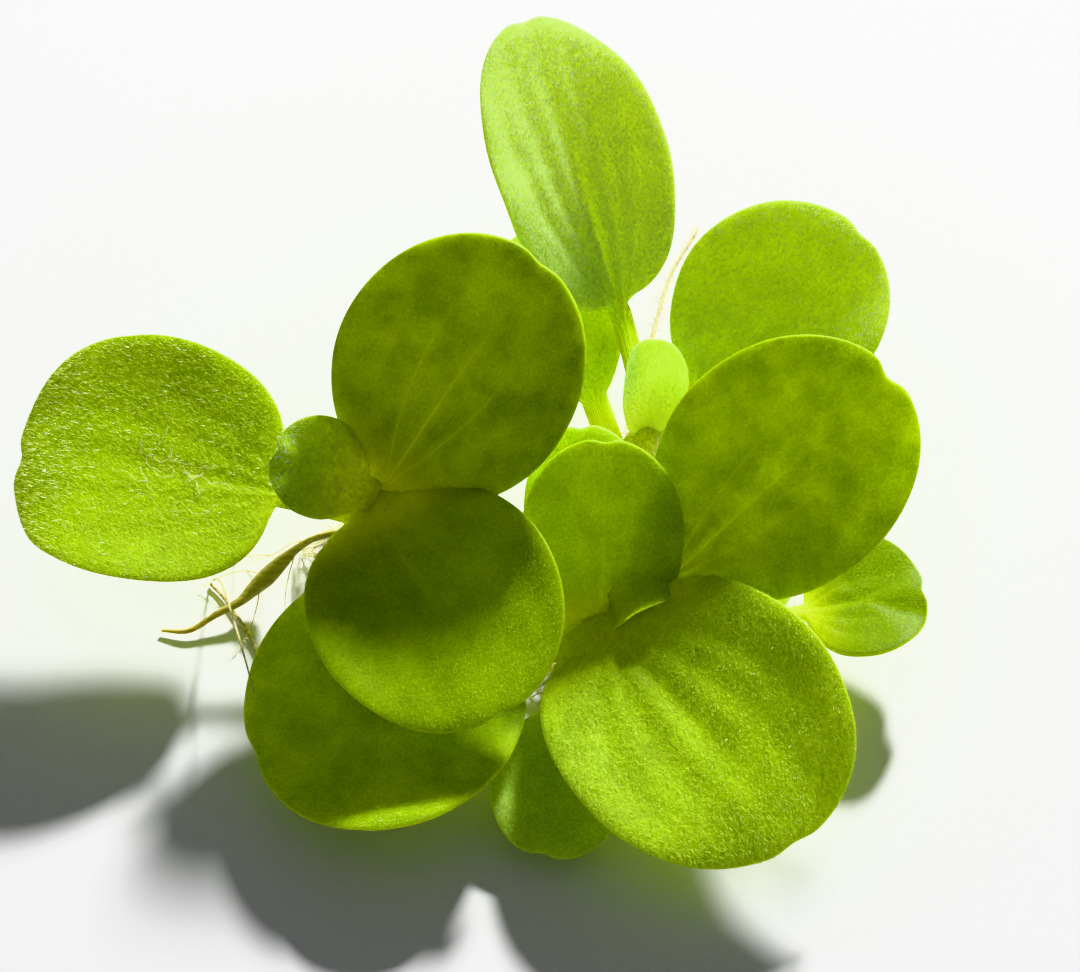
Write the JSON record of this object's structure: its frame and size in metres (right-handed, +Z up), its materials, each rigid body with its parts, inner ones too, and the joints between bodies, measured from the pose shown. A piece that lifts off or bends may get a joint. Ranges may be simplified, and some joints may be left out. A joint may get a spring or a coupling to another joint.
{
  "type": "water lettuce",
  "caption": "Clump of young water lettuce: rosettes of round, velvety, pleated leaves joined by short runners, resting on matted roots.",
  "frame": {"origin": "centre of the flat underside of the front rosette's root mat, on the surface the clump rests on", "axes": "+Z up, +X to the right and +Y to the back as the front rosette's large leaf faces the viewer"},
  "size_m": [0.1108, 0.1107, 0.0501],
  "materials": {
    "leaf": "velvety green leaf with short white hairs",
    "young_leaf": "pale velvety young leaf",
    "crown": "pale yellow-green fleshy stem",
    "runner": "smooth yellow-green runner",
    "old_runner": "withered olive-brown runner",
    "root": "matted pale brown feathery roots"
  },
  "bodies": {
    "root": {"left_leaf_outer": "leaf", "left_leaf_small": "leaf", "left_leaf_upright": "leaf", "left_leaf_front": "leaf", "front_leaf_upright": "leaf", "front_leaf_behind": "leaf", "front_leaf_right": "leaf", "front_leaf_large": "leaf", "front_leaf_small": "leaf", "front_leaf_left": "leaf", "front_leaf_bud": "young_leaf", "right_leaf_outer": "leaf", "right_leaf_bud": "young_leaf", "back_leaf_tall": "leaf", "back_leaf_cupped": "leaf", "back_leaf_young": "young_leaf", "back_leaf_left": "leaf", "crown_left": "crown", "crown_front": "crown", "crown_back": "crown", "crown_right": "crown", "runner_left": "runner", "runner_back": "runner", "runner_right": "runner", "old_runner": "old_runner", "long_root_left": "root", "long_root_back": "root", "root_mat_left": "root", "root_mat_front": "root", "root_mat_back": "root", "root_mat_right": "root"}
  },
  "joints": []
}
